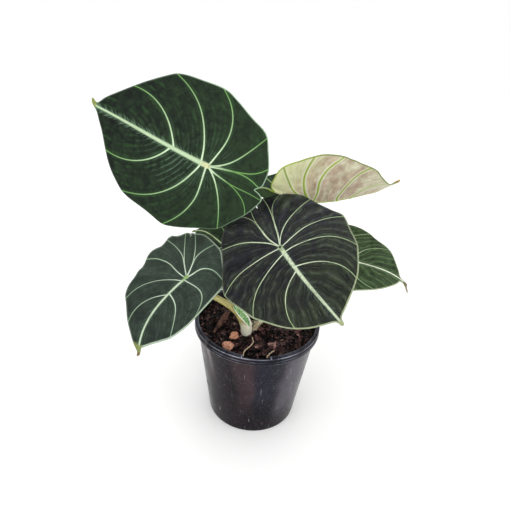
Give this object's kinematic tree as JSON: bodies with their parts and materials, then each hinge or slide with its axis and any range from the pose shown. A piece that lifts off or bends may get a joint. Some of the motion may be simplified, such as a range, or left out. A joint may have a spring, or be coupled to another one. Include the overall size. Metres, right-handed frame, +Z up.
{
  "type": "potted foliage plant",
  "caption": "Low aroid house plant with thick velvety shield-shaped leaves on bowed stalks, growing in a round black nursery pot filled with bark mix.",
  "frame": {"origin": "centre of the pot's flat underside, on the surface it stands on", "axes": "+Z up along the pot's axis, -Y towards the viewer of the front, +X to the right seen from the front"},
  "size_m": [0.3016, 0.2442, 0.3513],
  "materials": {
    "pot": "moulded black plastic, soft gloss",
    "potting_mix": "damp dark bark and fibre",
    "crown": "pale, smooth, slightly moist plant tissue",
    "petiole": "yellow-olive leaf stalk, satin, faintly striped",
    "blade_green": "velvety deep green with pale mint veins",
    "blade_charcoal": "velvety charcoal with silvery-green veins",
    "blade_teal": "velvety dark teal green with pale veins",
    "blade_underside": "pale cream-green underside with olive veins",
    "blade_mid_green": "velvety mid green with pale veins",
    "blade_deep_green": "velvety dark green with a pale yellow-green midrib",
    "sheath_green": "thin mottled green sheath with pale edges",
    "sheath_dry": "dry beige papery sheath",
    "bark_orange": "orange-tan bark, matt",
    "bark_dark": "dark wet bark",
    "surface_root": "pale tan thin root"
  },
  "bodies": {
    "root": {"pot": "pot", "potting_mix": "potting_mix", "crown": "crown", "blade_upper_left": "blade_green", "petiole_upper_left": "petiole", "blade_front": "blade_charcoal", "petiole_front": "petiole", "blade_lower_left": "blade_teal", "petiole_lower_left": "petiole", "blade_back_right": "blade_underside", "petiole_back_right": "petiole", "blade_lower_right": "blade_mid_green", "petiole_lower_right": "petiole", "blade_behind": "blade_deep_green", "petiole_behind": "petiole", "sheath_open": "sheath_green", "sheath_scale": "sheath_dry", "bark_chip_a": "bark_orange", "bark_chip_b": "bark_orange", "bark_stick": "bark_dark", "surface_root_a": "surface_root", "surface_root_b": "surface_root"}
  },
  "joints": []
}
